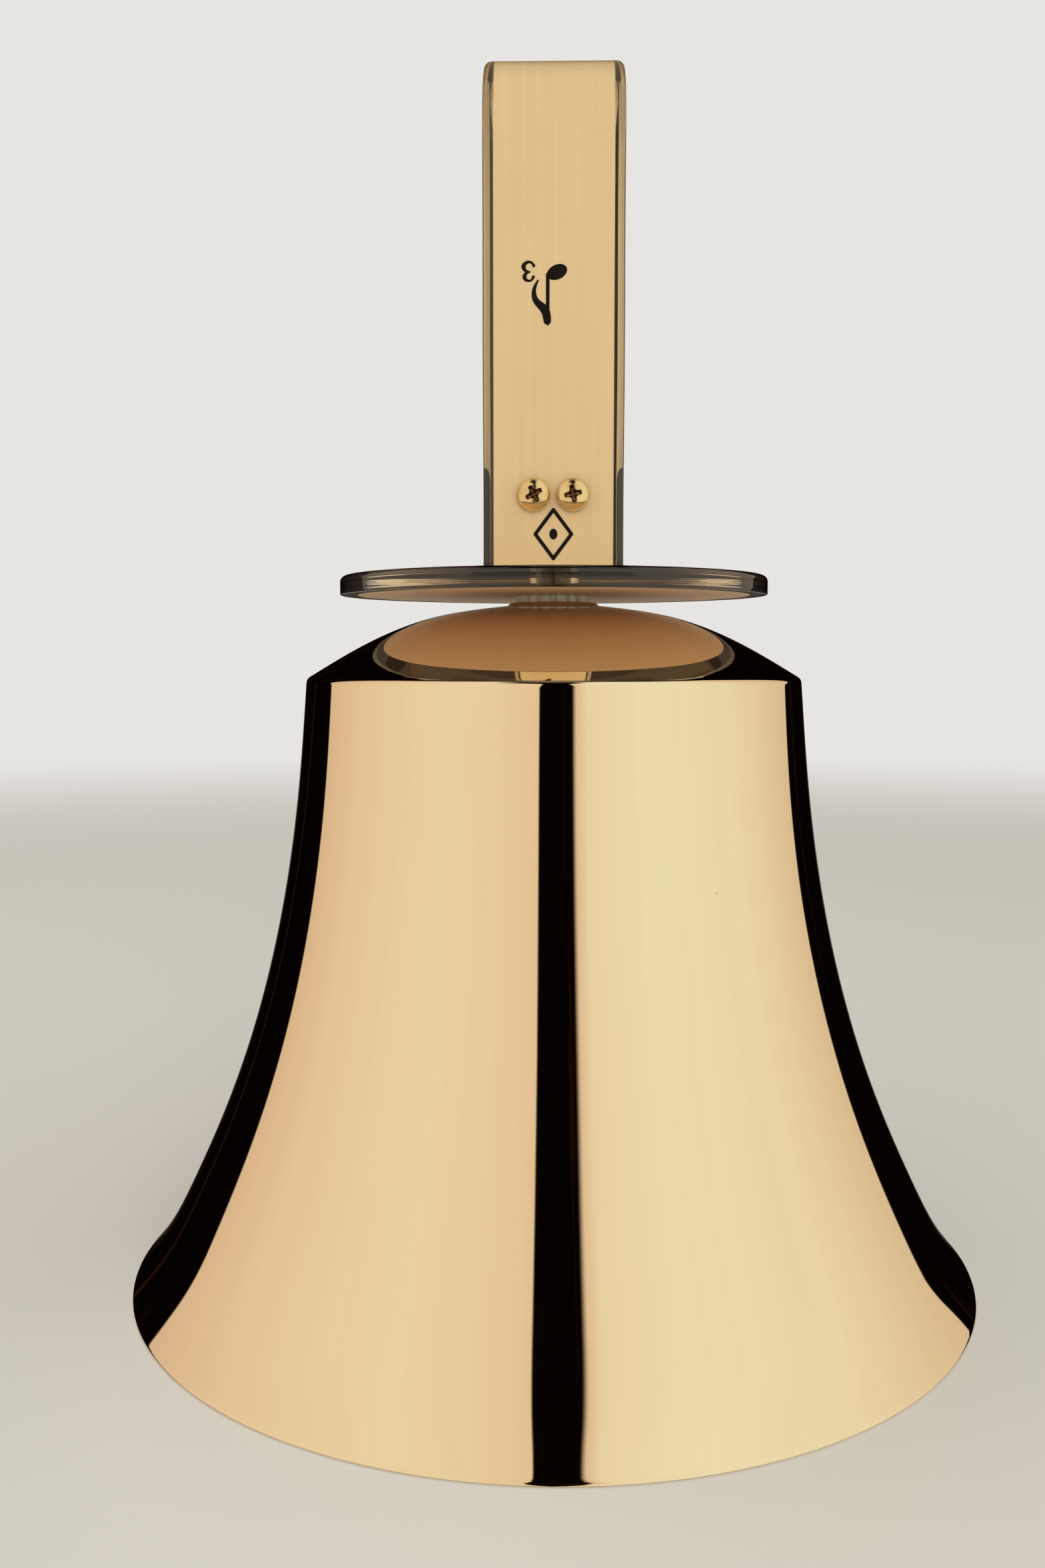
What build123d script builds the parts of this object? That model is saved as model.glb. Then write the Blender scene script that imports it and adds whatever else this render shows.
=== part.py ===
from build123d import *
import math
import os

# A large bronze handbell with a strap handle, standing on its mouth.
# Millimetres. +Z is up, the origin is the centre of the mouth plane. The front of
# the bell is -Y. The clapper swings front to back on an axle along X.

# ---- casting ----
mouth_radius = 115.2
shoulder_radius = 66.4
shoulder_height = 162.7
crown_height = 183.0
casting_wall = 2.8
lip_wall = 3.6
lip_face_width = 4.86
flare_wall_gain = 0.22
crown_wall = 4.2
shoulder_fillet = 2.0
lip_fillet = 0.7
boss_radius = 12.4
boss_rise = 0.8
inner_seat_radius = 17.0
# mouth_radius and shoulder_radius are the corners before they are rounded: the finished
# lip is 0.9 mm smaller in radius. flare_wall_gain is the share that the wall, measured
# along the radius, gains where the waist leans out.
# The waist's flare: share of the way down from the shoulder, share of the way out.
waist_stations = [(0.186, 0.054), (0.484, 0.228), (0.692, 0.447), (0.851, 0.679), (0.95, 0.864)]
# The crown's dome: share of the way out from boss to shoulder, share of the way down.
crown_stations = [(0.39, 0.175), (0.70, 0.515)]

# ---- crown stack ----
bolt_radius = 4.75
bolt_clearance = 0.2
bolt_head_flats = 14.3
bolt_head_height = 6.0
bolt_end_above_nut = 2.0
inner_washer_thickness = 3.0
inner_washer_radius = 15.5
spacer_radius = 10.1
spacer_root_radius = 8.5
spacer_thickness = 1.9
spacer_teeth = 18
guard_radius = 57.3
guard_thickness = 5.0
guard_top_fillet = 1.6
backing_radius = 52.6
backing_thickness = 0.4

# ---- handle ----
handle_height = 132.6
handle_depth = 48.0
jacket_width = 36.0
jacket_thickness = 4.6
jacket_edge_fillet = 1.9
core_width = 30.4
core_thickness = 1.8
strap_end_gap = 0.3
block_width = 29.0
block_height = 27.0
block_fillet = 2.0
nut_flats = 14.3
nut_height = 8.0
nut_washer_radius = 8.8
nut_washer_thickness = 1.5
nut_seat_height = 9.0
nut_pocket_clearance = 0.4
cap_thickness = 3.0
cap_chamfer = 0.5
cap_recess_clearance = 0.1

# ---- handle screws ----
screw_spacing = 9.9
screw_height_above_guard = 19.5
screw_head_radius = 4.15
screw_head_height = 2.7
screw_shank_radius = 2.05
screw_length = 12.5
screw_point_radius = 0.6
screw_point_length = 3.0
screw_rim_height = 0.75
screw_dome_radius = 3.25
screw_dome_height = 2.2
recess_width = 1.25
recess_span = 4.6
recess_depth = 1.7
screw_turns = [28, 12, 51, 6]

# ---- yoke ----
axle_drop = 33.0
yoke_plate_thickness = 5.0
yoke_plate_half_length = 21.0
yoke_corner_fillet = 4.0
cheek_gap = 19.0
cheek_thickness = 4.0
cheek_round = 8.0
axle_radius = 2.4
axle_overhang = 3.0
axle_chamfer = 0.4
clip_thickness = 0.8
clip_outer_radius = 4.6
clip_groove_depth = 0.5
clip_inset = 0.2

# ---- restraint plungers ----
plunger_offset = 14.0
plunger_radius = 2.45
plunger_length = 15.0
plunger_bore_radius = 1.7
plunger_floor = 6.0
plunger_gap = 0.3
barrel_radius = 4.0
barrel_bore_clearance = 0.05
barrel_below_plate = 11.8
barrel_roof = 1.5
barrel_inset = 0.4
locknut_flats = 11.0
locknut_height = 3.2
restraint_wire_radius = 0.25
restraint_coil_radius = 1.3
restraint_turns = 9
restraint_end_gap = 0.05

# ---- clapper ----
hub_radius = 7.0
hub_end_gap = 0.4
hub_neck_radius = 5.2
hub_neck_length = 15.0
arm_round = 2.0
arm_width = 8.0
bushing_radius = 3.4
bushing_clearance = 0.05
shaft_radius = 2.4
shaft_top_cover = 1.2
shaft_chamfer = 0.4
hub_screw_drop = 10.5
set_screw_radius = 1.5
set_screw_socket_radius = 0.75
head_bottom = 10.0
head_height = 26.0
head_flats = 50.0
head_edge_chamfer = 1.5
head_corner_fillet = 4.0
pad_reach = 36.0
pad_width = 17.0
pad_height = 21.0
pad_seat_depth = 2.5
pad_fillet = 2.0
head_bushing_radius = 4.2
head_bore_clearance = 0.05
spring_pocket_radius = 8.5
spring_pocket_depth = 9.0
head_wire_radius = 0.6
head_coil_radius = 5.0
head_spring_turns = 4
head_spring_gap = 0.3
head_spring_slack = 0.3
spring_washer_radius = 7.0
spring_washer_thickness = 1.2
end_nut_flats = 9.5
end_nut_height = 4.4
shaft_end_beyond_nut = 0.8
collar_radius = 9.0
collar_height = 6.0
collar_gap = 0.3
collar_chamfer = 0.6

# ---- worked out from the values above ----
inner_seat_z = crown_height - crown_wall
plate_top = inner_seat_z - inner_washer_thickness
plate_bottom = plate_top - yoke_plate_thickness
axle_z = crown_height - axle_drop
guard_bottom = crown_height + spacer_thickness
guard_top = guard_bottom + guard_thickness
bolt_hole_radius = bolt_radius + bolt_clearance
screw_z = guard_top + screw_height_above_guard
bend_radius = handle_depth / 2
bend_z = guard_top + handle_height - bend_radius
strap_bottom = guard_top + strap_end_gap
leg_inside = handle_depth / 2 - jacket_thickness
nut_bottom = guard_top + nut_seat_height
block_top = guard_top + block_height
cheek_outside = cheek_gap / 2 + cheek_thickness
barrel_bottom = plate_bottom - barrel_below_plate
barrel_top = plate_top - barrel_inset
plunger_bottom = axle_z + arm_round + plunger_gap
hub_half_length = cheek_gap / 2 - hub_end_gap
shaft_top = axle_z - bushing_radius - shaft_top_cover
head_top = head_bottom + head_height
spring_roof = head_bottom + spring_pocket_depth
spring_height = (head_spring_turns + 1) * 2 * head_wire_radius + head_spring_slack
washer_top = spring_roof - head_spring_gap - spring_height
nut_top = washer_top - spring_washer_thickness
shaft_bottom = nut_top - end_nut_height - shaft_end_beyond_nut


def disc(radius, low, high):
    """A solid cylinder on the bell's axis between two heights."""
    return Pos(0, 0, low) * Cylinder(radius, high - low, align=(Align.CENTER, Align.CENTER, Align.MIN))


def tube(outer, inner, low, high):
    """A ring on the bell's axis between two heights."""
    return disc(outer, low, high) - disc(inner, low, high)


def block(x, y, low, high):
    """A box centred on the bell's axis between two heights."""
    return Pos(0, 0, low) * Box(x, y, high - low, align=(Align.CENTER, Align.CENTER, Align.MIN))


def hexagon(flats, low, high, turn=0):
    """A hexagonal prism on the bell's axis. Two flats face Y, or X after a turn of 30 degrees."""
    outline = RegularPolygon(flats / 2, 6, major_radius=False, rotation=turn)
    return Pos(0, 0, low) * extrude(outline, high - low)


def across(radius, half_length):
    """A cylinder along X, centred on the origin."""
    return Rot(0, 90, 0) * Cylinder(radius, 2 * half_length)


def coil(coil_radius, wire_radius, low, high, turns):
    """A round-wire compression spring on the Z axis."""
    pitch = (high - low - 2 * wire_radius) / turns
    path = Pos(0, 0, low + wire_radius) * Helix(pitch, pitch * turns, coil_radius)
    section = Plane(path @ 0, z_dir=path % 0) * Circle(wire_radius)
    return sweep(section, path, is_frenet=True)


def lever_arms(radius, length, width):
    """Arms along +Y and -Y with round ends, centred on the origin, thick along X."""
    outline = SlotCenterToCenter(2 * length, 2 * radius)
    return extrude(Plane.YZ * outline, width / 2, both=True)


def waist_point(down, out, inset):
    """A point of the waist, set in from the outer surface by the wall along the radius."""
    radius = shoulder_radius + (mouth_radius - shoulder_radius) * out
    return (radius - inset, shoulder_height * (1 - down))


def crown_point(out, down, drop):
    """A point of the crown's dome, dropped below the outer surface."""
    dome_top = crown_height - boss_rise
    radius = boss_radius + (shoulder_radius - boss_radius) * out
    return (radius, dome_top - (dome_top - shoulder_height) * down - drop)


def casting():
    """The bell itself: a thin flared shell with a domed crown, turned round the axis."""
    dome_top = crown_height - boss_rise
    lip_inside = mouth_radius - lip_face_width
    outer_waist = [waist_point(d, o, 0) for d, o in [(0, 0)] + waist_stations + [(1, 1)]]
    outer_crown = [(boss_radius, dome_top)]
    outer_crown += [crown_point(o, d, 0) for o, d in crown_stations]
    outer_crown += [(shoulder_radius, shoulder_height)]

    corner_z = shoulder_height - crown_wall
    inner_waist = [(shoulder_radius - casting_wall, corner_z)]
    for down, out in waist_stations:
        wall = casting_wall + (lip_wall - casting_wall) * down
        inner_waist.append(waist_point(down, out, wall * (1 + flare_wall_gain * out)))
    inner_waist.append((lip_inside, 0))
    seat_end = (inner_seat_radius, inner_seat_z)
    inner_crown = [seat_end]
    inner_crown += [crown_point(o, d, crown_wall) for o, d in crown_stations]
    inner_crown += [(shoulder_radius - casting_wall, corner_z)]

    edges = [
        Line((bolt_hole_radius, crown_height), (boss_radius - boss_rise, crown_height)),
        Line((boss_radius - boss_rise, crown_height), (boss_radius, dome_top)),
        Spline(outer_crown),
        Spline(outer_waist),
        Line(outer_waist[-1], (lip_inside, 0)),
        Spline(inner_waist),
        Spline(inner_crown),
        Line(seat_end, (bolt_hole_radius, inner_seat_z)),
        Line((bolt_hole_radius, inner_seat_z), (bolt_hole_radius, crown_height)),
    ]
    profile = make_face(edges)
    shoulder = profile.vertices().sort_by_distance((shoulder_radius, shoulder_height, 0))[0]
    profile = fillet(shoulder, shoulder_fillet)
    inner_corner = profile.vertices().sort_by_distance((shoulder_radius - casting_wall, corner_z, 0))[0]
    profile = fillet(inner_corner, shoulder_fillet)
    lip = profile.vertices().sort_by_distance((mouth_radius, 0, 0))[0]
    profile = fillet(lip, lip_fillet)
    lip = profile.vertices().sort_by_distance((lip_inside, 0, 0))[0]
    profile = fillet(lip, lip_fillet)
    return revolve(Plane.XZ * profile, Axis.Z)


def crown_spacer():
    """The clear toothed washer that stands the hand guard off the crown."""
    tooth_pitch = 360 / spacer_teeth
    tooth_width = math.pi * spacer_radius / spacer_teeth
    washer = disc(spacer_root_radius, crown_height, guard_bottom)
    tooth_depth = spacer_radius - spacer_root_radius + 1
    tooth = Box(tooth_depth, tooth_width, spacer_thickness,
                align=(Align.MAX, Align.CENTER, Align.MIN))
    for index in range(spacer_teeth):
        washer += Rot(0, 0, index * tooth_pitch) * Pos(spacer_radius, 0, crown_height) * tooth
    return washer - disc(bolt_hole_radius, crown_height, guard_bottom)


def hand_guard():
    """The clear disc that keeps the hand off the bronze, recessed below for its backing."""
    guard = disc(guard_radius, guard_bottom, guard_top)
    rim = guard.edges().filter_by(GeomType.CIRCLE).group_by(Axis.Z)[-1]
    guard = fillet(rim, guard_top_fillet)
    guard -= disc(backing_radius, guard_bottom, guard_bottom + backing_thickness)
    return guard - disc(bolt_hole_radius, guard_bottom, guard_top)


def guard_backing():
    """The cream sheet bonded into the underside of the guard."""
    return tube(backing_radius, bolt_hole_radius, guard_bottom, guard_bottom + backing_thickness)


def strap_loop(width, outside, thickness, bottom):
    """An upside-down U in the YZ plane: two legs and a half-round bend."""
    inside = outside - thickness
    solid = Rot(0, 90, 0) * Cylinder(outside, width)
    solid = Pos(0, 0, bend_z) * solid
    solid = split(solid, bisect_by=Plane.XY.offset(bend_z), keep=Keep.TOP)
    solid += block(width, 2 * outside, bottom, bend_z)
    hollow = Pos(0, 0, bend_z) * Rot(0, 90, 0) * Cylinder(inside, width)
    return solid - hollow - block(width, 2 * inside, bottom, bend_z)


def core_loop():
    """The cream core strip, midway through the jacket's thickness."""
    skin = (jacket_thickness - core_thickness) / 2
    return strap_loop(core_width, handle_depth / 2 - skin, core_thickness, strap_bottom)


def screw_places():
    """The four handle screws: two in front, two behind, each with its recess's turn."""
    places = []
    for index, turn in enumerate(screw_turns):
        side = 1 if index % 2 else -1
        facing = 0 if index < 2 else 180
        centre = Pos(0, 0, screw_z) * Rot(0, 0, facing) * Pos(side * screw_spacing / 2, -handle_depth / 2, 0)
        places.append(centre * Rot(90, 0, 0) * Rot(0, 0, turn))
    return places


def screw_holes():
    """The shank holes through strap and block."""
    hole = Pos(0, 0, -screw_length) * Cylinder(screw_shank_radius, screw_length + 1,
                                               align=(Align.CENTER, Align.CENTER, Align.MIN))
    return [place * hole for place in screw_places()]


def handle_jacket():
    """The clear flexible sleeve, with round edges, round the core strip."""
    jacket = strap_loop(jacket_width, handle_depth / 2, jacket_thickness, strap_bottom)
    side_edges = [e for e in jacket.edges()
                  if abs(abs(e.center().X) - jacket_width / 2) < 0.01
                  and e.center().Z > strap_bottom + 0.01]
    jacket = fillet(side_edges, jacket_edge_fillet)
    jacket -= core_loop()
    for hole in screw_holes():
        jacket -= hole
    return jacket


def handle_core():
    """The core strip with its screw holes."""
    core = core_loop()
    for hole in screw_holes():
        core -= hole
    return core


def handle_block():
    """The block between the strap's legs that the crown bolt pulls down on."""
    body = block(block_width, 2 * leg_inside, guard_top, block_top)
    uprights = body.edges().filter_by(Axis.Z)
    body = fillet(uprights, block_fillet)
    pocket = nut_washer_radius + nut_pocket_clearance
    body -= disc(bolt_hole_radius, guard_top, block_top)
    body -= disc(pocket, nut_bottom - nut_washer_thickness, block_top)
    for hole in screw_holes():
        body -= hole
    return body


def block_cap():
    """The plug that closes the nut's pocket, with a finger chamfer."""
    pocket = nut_washer_radius + nut_pocket_clearance
    cap = disc(pocket - cap_recess_clearance, block_top - cap_thickness, block_top)
    top = cap.edges().filter_by(GeomType.CIRCLE).group_by(Axis.Z)[-1]
    return chamfer(top, cap_chamfer)


def nut_washer():
    """The steel washer under the handle nut."""
    return tube(nut_washer_radius, bolt_hole_radius, nut_bottom - nut_washer_thickness, nut_bottom)


def handle_nut():
    """The nut on the crown bolt, inside the handle block."""
    return hexagon(nut_flats, nut_bottom, nut_bottom + nut_height) - disc(
        bolt_radius, nut_bottom, nut_bottom + nut_height)


def handle_screws():
    """Four pan-head screws with cross recesses."""
    dome = screw_head_height
    taper_z = screw_point_length - screw_length
    profile = make_face([
        Line((0, -screw_length), (screw_point_radius, -screw_length)),
        Line((screw_point_radius, -screw_length), (screw_shank_radius, taper_z)),
        Line((screw_shank_radius, taper_z), (screw_shank_radius, 0)),
        Line((screw_shank_radius, 0), (screw_head_radius, 0)),
        Line((screw_head_radius, 0), (screw_head_radius, screw_rim_height)),
        Spline((screw_head_radius, screw_rim_height), (screw_dome_radius, screw_dome_height), (0, dome)),
        Line((0, dome), (0, -screw_length)),
    ])
    screw = revolve(Plane.XZ * profile, Axis.Z)
    bar = Box(recess_span, recess_width, recess_depth, align=(Align.CENTER, Align.CENTER, Align.MAX))
    recess = Pos(0, 0, dome) * (bar + Rot(0, 0, 90) * bar)
    screw -= recess
    return [place * screw for place in screw_places()]


def crown_bolt():
    """The bolt through yoke, bell, guard and block. Its head is kept from turning by the cheeks."""
    length_top = nut_bottom + nut_height + bolt_end_above_nut
    bolt = disc(bolt_radius, plate_bottom, length_top)
    return bolt + hexagon(bolt_head_flats, plate_bottom - bolt_head_height, plate_bottom, 30)


def inner_washer():
    """The leather washer between the yoke and the inside of the crown."""
    return tube(inner_washer_radius, bolt_hole_radius, plate_top, inner_seat_z)


def yoke():
    """The bracket inside the crown: a plate with two cheeks that carry the axle."""
    plate = block(2 * cheek_outside, 2 * yoke_plate_half_length, plate_bottom, plate_top)
    plate = fillet(plate.edges().filter_by(Axis.Z), yoke_corner_fillet)
    cheek = block(cheek_thickness, 2 * cheek_round, axle_z, plate_bottom)
    cheek += Pos(0, 0, axle_z) * across(cheek_round, cheek_thickness / 2)
    cheek -= Pos(0, 0, axle_z) * across(axle_radius, cheek_thickness)
    offset = (cheek_gap + cheek_thickness) / 2
    body = plate + Pos(offset, 0, 0) * cheek + Pos(-offset, 0, 0) * cheek
    body -= disc(bolt_hole_radius, plate_bottom, plate_top)
    for side in (-1, 1):
        body -= Pos(0, side * plunger_offset, 0) * disc(barrel_radius, plate_bottom, barrel_top)
    return body


def axle():
    """The clapper's axle, fixed in the cheeks, with a groove near each end."""
    half = cheek_outside + axle_overhang
    pin = across(axle_radius, half)
    ends = pin.edges().filter_by(GeomType.CIRCLE)
    pin = chamfer(ends, axle_chamfer)
    groove = across(axle_radius + 1, clip_thickness / 2) - across(axle_radius - clip_groove_depth, 1)
    place = cheek_outside + clip_inset + clip_thickness / 2
    pin -= Pos(place, 0, 0) * groove
    pin -= Pos(-place, 0, 0) * groove
    return Pos(0, 0, axle_z) * pin


def axle_clips():
    """Two snap rings in the axle's grooves."""
    clip = across(clip_outer_radius, clip_thickness / 2)
    clip -= across(axle_radius - clip_groove_depth, clip_thickness)
    clip -= Pos(0, 0, -clip_outer_radius) * Box(clip_thickness * 2, axle_radius * 1.5, clip_outer_radius * 2)
    place = cheek_outside + clip_inset + clip_thickness / 2
    return [Pos(side * place, 0, axle_z) * clip for side in (-1, 1)]


def spring_barrels():
    """Two threaded barrels in the yoke plate, each a guide for a spring and plunger."""
    bore = plunger_radius + barrel_bore_clearance
    barrel = disc(barrel_radius, barrel_bottom, barrel_top)
    barrel -= disc(bore, barrel_bottom, barrel_top - barrel_roof)
    return [Pos(0, side * plunger_offset, 0) * barrel for side in (-1, 1)]


def barrel_locknuts():
    """The thin nuts that lock the barrels against the yoke plate."""
    nut = hexagon(locknut_flats, plate_bottom - locknut_height, plate_bottom)
    nut -= disc(barrel_radius, plate_bottom - locknut_height, plate_bottom)
    return [Pos(0, side * plunger_offset, 0) * nut for side in (-1, 1)]


def plunger(side):
    """A round-nosed plunger, bored from above for its spring."""
    nose = Pos(0, 0, plunger_bottom + plunger_radius) * Sphere(plunger_radius)
    body = nose + disc(plunger_radius, plunger_bottom + plunger_radius, plunger_bottom + plunger_length)
    body -= disc(plunger_bore_radius, plunger_bottom + plunger_floor, plunger_bottom + plunger_length)
    return Pos(0, side * plunger_offset, 0) * body


def restraint_spring(side):
    """The spring between a plunger's bore and its barrel's roof."""
    low = plunger_bottom + plunger_floor + restraint_end_gap
    high = barrel_top - barrel_roof - restraint_end_gap
    spring = coil(restraint_coil_radius, restraint_wire_radius, low, high, restraint_turns)
    return Pos(0, side * plunger_offset, 0) * spring


def clapper_hub():
    """The clapper's hub: a barrel on the axle, two arms under the plungers, a neck below."""
    hub = across(hub_radius, hub_half_length) + lever_arms(arm_round, plunger_offset, arm_width)
    hub = Pos(0, 0, axle_z) * hub
    hub += disc(hub_neck_radius, axle_z - hub_neck_length, axle_z)
    hub -= Pos(0, 0, axle_z) * across(bushing_radius, hub_half_length)
    hub -= disc(shaft_radius, axle_z - hub_neck_length, shaft_top)
    screw = Pos(hub_neck_radius / 2 + shaft_radius / 2, 0, axle_z - hub_screw_drop)
    return hub - screw * across(set_screw_radius, (hub_neck_radius - shaft_radius) / 2 + 0.01)


def hub_bushings():
    """Two nylon sleeves, end to end in the hub."""
    sleeve = across(bushing_radius, hub_half_length / 2)
    sleeve -= across(axle_radius + bushing_clearance, hub_half_length / 2)
    return [Pos(side * hub_half_length / 2, 0, axle_z) * sleeve for side in (-1, 1)]


def set_screw(outer_radius, height):
    """A socket set screw along X that bears on the shaft."""
    length = outer_radius - shaft_radius
    screw = across(set_screw_radius, length / 2)
    socket = Rot(0, 90, 0) * extrude(RegularPolygon(set_screw_socket_radius, 6), length / 2)
    return Pos(shaft_radius + length / 2, 0, height) * (screw - socket)


def clapper_shaft():
    """The steel rod from hub to head."""
    rod = disc(shaft_radius, shaft_bottom, shaft_top)
    return chamfer(rod.edges().filter_by(GeomType.CIRCLE), shaft_chamfer)


def detent_collar():
    """The collar on the shaft just above the head."""
    low = head_top + collar_gap
    collar = disc(collar_radius, low, low + collar_height)
    collar = chamfer(collar.edges().filter_by(GeomType.CIRCLE), collar_chamfer)
    collar -= disc(shaft_radius, low, low + collar_height)
    middle = Pos((collar_radius + shaft_radius) / 2, 0, low + collar_height / 2)
    return collar - middle * across(set_screw_radius, (collar_radius - shaft_radius) / 2 + 0.01)


def pad_box(reach, width, height, inner):
    """A block on the +Y side of the head, from an inner distance out to its reach."""
    middle = head_bottom + head_height / 2
    return Pos(0, (inner + reach) / 2, middle) * Box(width, reach - inner, height)


def head_core():
    """The clapper head's six-sided body, with a seat for a pad in each side."""
    core = hexagon(head_flats, head_bottom, head_top)
    core = fillet(core.edges().filter_by(Axis.Z), head_corner_fillet)
    rims = core.faces().sort_by(Axis.Z)
    core = chamfer(rims[0].edges() + rims[-1].edges(), head_edge_chamfer)
    seat = pad_box(head_flats / 2, pad_width, pad_height, head_flats / 2 - pad_seat_depth)
    for index in range(6):
        core -= Rot(0, 0, 60 * index) * seat
    core -= disc(head_bushing_radius, spring_roof, head_top)
    return core - disc(spring_pocket_radius, head_bottom, spring_roof)


def head_bushing():
    """The nylon sleeve that lets the head turn on the shaft."""
    return tube(head_bushing_radius, shaft_radius + head_bore_clearance, spring_roof, head_top)


def striking_pads(index):
    """An opposite pair of pads with faces rounded about the shaft."""
    pad = pad_box(pad_reach + 1, pad_width, pad_height, head_flats / 2 - pad_seat_depth)
    pad &= disc(pad_reach, head_bottom, head_top)
    outer = [e for e in pad.edges() if e.center().Y > head_flats / 2 + 4]
    pad = fillet(outer, pad_fillet)
    return [Rot(0, 0, 60 * index + turn) * pad for turn in (0, 180)]


def head_spring():
    """The spring that presses the head up against its collar."""
    return coil(head_coil_radius, head_wire_radius, washer_top, spring_roof - head_spring_gap,
                head_spring_turns)


def spring_washer():
    """The washer between the head's spring and the end nut."""
    return tube(spring_washer_radius, shaft_radius, nut_top, washer_top)


def end_nut():
    """The nut on the end of the clapper shaft."""
    return hexagon(end_nut_flats, nut_top - end_nut_height, nut_top) - disc(
        shaft_radius, nut_top - end_nut_height, nut_top)


parts = {
    "casting": casting(),
    "crown_spacer": crown_spacer(),
    "hand_guard": hand_guard(),
    "guard_backing": guard_backing(),
    "handle_jacket": handle_jacket(),
    "handle_core": handle_core(),
    "handle_block": handle_block(),
    "block_cap": block_cap(),
    "nut_washer": nut_washer(),
    "handle_nut": handle_nut(),
    "handle_screws": handle_screws(),
    "crown_bolt": crown_bolt(),
    "inner_washer": inner_washer(),
    "yoke": yoke(),
    "axle": axle(),
    "axle_clips": axle_clips(),
    "spring_barrels": spring_barrels(),
    "barrel_locknuts": barrel_locknuts(),
    "front_plunger": plunger(-1),
    "rear_plunger": plunger(1),
    "front_spring": restraint_spring(-1),
    "rear_spring": restraint_spring(1),
    "clapper_hub": clapper_hub(),
    "hub_bushings": hub_bushings(),
    "hub_set_screw": set_screw(hub_neck_radius, axle_z - hub_screw_drop),
    "clapper_shaft": clapper_shaft(),
    "detent_collar": detent_collar(),
    "collar_set_screw": set_screw(collar_radius, head_top + collar_gap + collar_height / 2),
    "head_core": head_core(),
    "head_bushing": head_bushing(),
    "soft_pads": striking_pads(0),
    "medium_pads": striking_pads(1),
    "hard_pads": striking_pads(2),
    "head_spring": head_spring(),
    "spring_washer": spring_washer(),
    "end_nut": end_nut(),
}

os.makedirs("parts", exist_ok=True)
for name, shape in parts.items():
    if isinstance(shape, list):
        shape = Compound(children=shape)
    shape.label = name
    export_step(shape, f"parts/{name}.step")
    print(name, round(shape.volume, 1))
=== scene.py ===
import math

import bmesh
import bpy
import numpy as np
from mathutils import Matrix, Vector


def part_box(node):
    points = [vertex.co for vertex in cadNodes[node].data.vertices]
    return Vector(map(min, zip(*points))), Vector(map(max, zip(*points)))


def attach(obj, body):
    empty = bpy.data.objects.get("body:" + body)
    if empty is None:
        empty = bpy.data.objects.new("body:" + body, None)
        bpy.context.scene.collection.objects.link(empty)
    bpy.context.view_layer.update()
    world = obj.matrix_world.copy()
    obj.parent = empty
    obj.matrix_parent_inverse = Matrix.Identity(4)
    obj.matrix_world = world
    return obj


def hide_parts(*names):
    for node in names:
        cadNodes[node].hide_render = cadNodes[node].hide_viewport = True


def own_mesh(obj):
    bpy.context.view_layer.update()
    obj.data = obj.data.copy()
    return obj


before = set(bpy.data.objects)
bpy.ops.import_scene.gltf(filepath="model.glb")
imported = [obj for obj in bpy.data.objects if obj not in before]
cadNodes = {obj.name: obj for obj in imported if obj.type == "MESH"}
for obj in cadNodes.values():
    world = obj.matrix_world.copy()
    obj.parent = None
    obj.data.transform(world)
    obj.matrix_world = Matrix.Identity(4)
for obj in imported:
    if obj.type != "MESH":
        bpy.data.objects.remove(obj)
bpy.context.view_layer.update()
mm = 0.001
print("frame loaded,", len(cadNodes), "nodes")


# Shader tools.

class Wire:
    # A socket of a material or world. Python's operators on it add Math nodes.
    def __init__(self, paint, socket):
        self.paint = paint
        self.socket = socket

    def __add__(self, other):
        return self.paint.maths("ADD", self, other)

    def __radd__(self, other):
        return self.paint.maths("ADD", other, self)

    def __sub__(self, other):
        return self.paint.maths("SUBTRACT", self, other)

    def __rsub__(self, other):
        return self.paint.maths("SUBTRACT", other, self)

    def __mul__(self, other):
        return self.paint.maths("MULTIPLY", self, other)

    def __rmul__(self, other):
        return self.paint.maths("MULTIPLY", other, self)

    def __truediv__(self, other):
        return self.paint.maths("DIVIDE", self, other)

    def __gt__(self, other):
        return self.paint.maths("GREATER_THAN", self, other)

    def __lt__(self, other):
        return self.paint.maths("LESS_THAN", self, other)


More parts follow.
